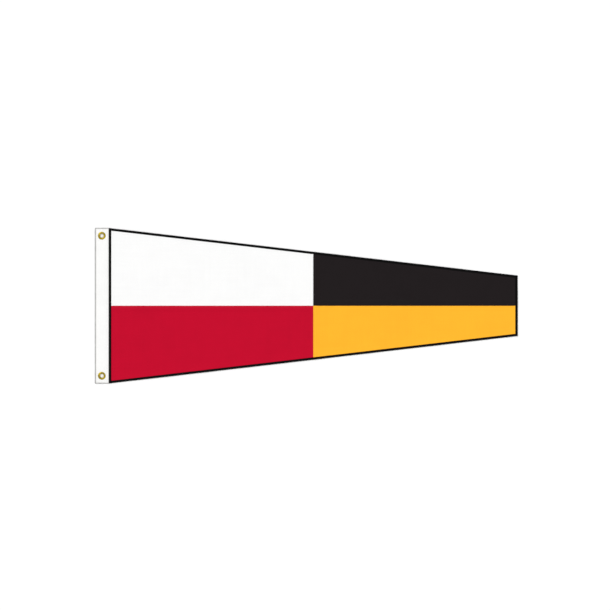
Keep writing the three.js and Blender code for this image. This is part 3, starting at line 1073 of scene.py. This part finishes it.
def sewSeams():
    clear = tapeWide + 0.9
    leftStart, leftEnd = hoistX + clear, crossX - 0.8
    rightStart, rightEnd = crossX + seamWide + 0.4, flyX - clear
    red, black, yellow = panelTop("panel_red"), panelTop("panel_black"), panelTop("panel_yellow")
    for row in seam["rows"]:
        sewRow("red_face", (leftStart, -row), (leftEnd, -row), red)
        whiteEnd = leftEnd if row == seam["rows"][0] else leftEnd - seam["clear"]
        sewRow("white_back", (leftStart, -row), (whiteEnd, -row), panelBack)
        sewRow("black_face", (rightStart, row), (rightEnd, row), black)
        sewRow("yellow_back", (rightStart, row), (rightEnd, row), panelBack)
        x = crossX + row
        top = halfAt(x, clear)
        sewRow("black_face", (x, 0.3), (x, top), black)
        sewRow("yellow_face", (x, -0.3), (x, -top), yellow)
        sewRow("white_back", (x, 0.3), (x, top), panelBack)
        sewRow("red_back", (x, -3.8), (x, -top), panelBack)


def sewBinding():
    inset = tape["row"]
    startX, endX = hoistX + tapeWide + 2.4, flyX - tapeWide - 2.4
    startHalf, endHalf = halfAt(startX, inset), halfAt(endX, inset)
    for name, surface in (("black_binding_face", tapeTop), ("black_binding_back", tapeBack)):
        for side in (1, -1):
            sewRow(name, (startX, side * startHalf), (endX, side * endHalf), surface)
        for x in (hoistX + inset, flyX - inset):
            sewRow(name, (x, -halfAt(x, 1.2)), (x, halfAt(x, 1.2)), surface)


def sewHeading():
    for name, surface in (("heading_face", canvasTop), ("heading_back", canvasBack)):
        for row in canvas["rows"]:
            x = hoistX - row
            sewRow(name, (x, -topY + 1.5), (x, topY - 1.5), surface)
        for side in (1, -1):
            y = side * (topY - canvas["endRow"])
            sewRow(name, (leftX + 1.6, y), (hoistX - 5.8, y), surface)


sewSeams()
sewBinding()
sewHeading()
threads = {  # the thread of each piece, and the slot of its cloth
    "red_face": ("thread_red", "cloth_red"),
    "black_face": ("thread_black", "cloth_black"),
    "yellow_face": ("thread_yellow", "cloth_yellow"),
    "white_back": ("thread_white", "cloth_white"),
    "yellow_back": ("thread_yellow", "cloth_yellow"),
    "red_back": ("thread_red", "cloth_red"),
    "black_binding_face": ("thread_black", "tape_black"),
    "black_binding_back": ("thread_black", "tape_black"),
    "heading_face": ("thread_white", "canvas_white"),
    "heading_back": ("thread_white", "canvas_white"),
}
stitchCount = sum(makeStitches(name, *pair) for name, pair in threads.items())
print("stitches sewn:", stitchCount)

# Floor, light and camera
studio = {
    "floorColor": 0.93,
    "floorSize": 60.0,  # metres
    "worldLow": 0.36,  # light from the two sides, and the white that the camera sees
    "worldHigh": 0.54,
    "backdrop": 1.0,
    "lamps": {
        "key": {"strength": 1.56, "tilt": 40, "turn": -135, "soft": 18},
        "opposite": {"strength": 1.18, "tilt": 40, "turn": 45, "soft": 18},
    },
}


def makeFloor():
    half = studio["floorSize"] / 2
    corners = [(-half, -half, 0), (half, -half, 0), (half, half, 0), (-half, half, 0)]
    mesh = bpy.data.meshes.new("floor")
    mesh.from_pydata(corners, [], [(0, 1, 2, 3)])
    floor = addObject("floor", mesh)
    material, _, shader = newMaterial("floor_paper")
    color = (*[studio["floorColor"]] * 3, 1)
    feed(shader, {"Base Color": color, "Roughness": 0.9, "Specular IOR Level": 0.1})
    mesh.materials.append(material)


def makeLamps():
    for name, setting in studio["lamps"].items():
        sun = bpy.data.lights.new(name, "SUN")
        sun.energy = setting["strength"]
        sun.angle = math.radians(setting["soft"])
        lamp = addObject(name, sun)
        lamp.rotation_euler = (math.radians(setting["tilt"]), 0, math.radians(setting["turn"]))


def makeWorld():  # plain white to the camera, softly brighter from one side for the flag
    world = bpy.data.worlds.new("studio")
    world.use_nodes = True
    bpy.context.scene.world = world
    tree = world.node_tree
    camera = makeNode(tree, "ShaderNodeLightPath").outputs["Is Camera Ray"]
    sky = makeNode(tree, "ShaderNodeTexCoord").outputs["Generated"]
    way = makeNode(tree, "ShaderNodeSeparateXYZ", {0: sky}).outputs
    slope = calc(tree, "SUBTRACT", way[1], way[0])
    lit = remap(tree, slope, -1.2, 1.2, studio["worldLow"], studio["worldHigh"])
    strength = remap(tree, camera, 0, 1, lit, studio["backdrop"])
    feed(tree.nodes["Background"], {"Color": (1, 1, 1, 1), "Strength": strength})


view = {
    "pictureWide": 610,  # pixels, as are the flag's width and its middle in the picture
    "flagWide": 422.6,
    "flagMiddle": (306.3, 305.76),
    "lens": 85.0,
    "sensor": 36.0,
}


def makeCamera():
    pixel = (flyX - leftX) / view["flagWide"]
    middle = view["pictureWide"] / 2
    camera = bpy.data.cameras.new("camera")
    camera.lens = view["lens"]
    camera.sensor_width = view["sensor"]
    camera.sensor_fit = "HORIZONTAL"
    camera.clip_start, camera.clip_end = 0.1, 100
    rig = addObject("camera", camera)
    distance = view["pictureWide"] * pixel * view["lens"] / view["sensor"]
    placeX = (middle - view["flagMiddle"][0]) * pixel
    placeY = (view["flagMiddle"][1] - middle) * pixel
    rig.location = (placeX * mm, placeY * mm, distance * mm)
    bpy.context.scene.camera = rig


makeFloor()
makeLamps()
makeWorld()
makeCamera()
bpy.context.scene.view_settings.view_transform = "Standard"
bpy.context.scene.view_settings.look = "None"
print("studio made")
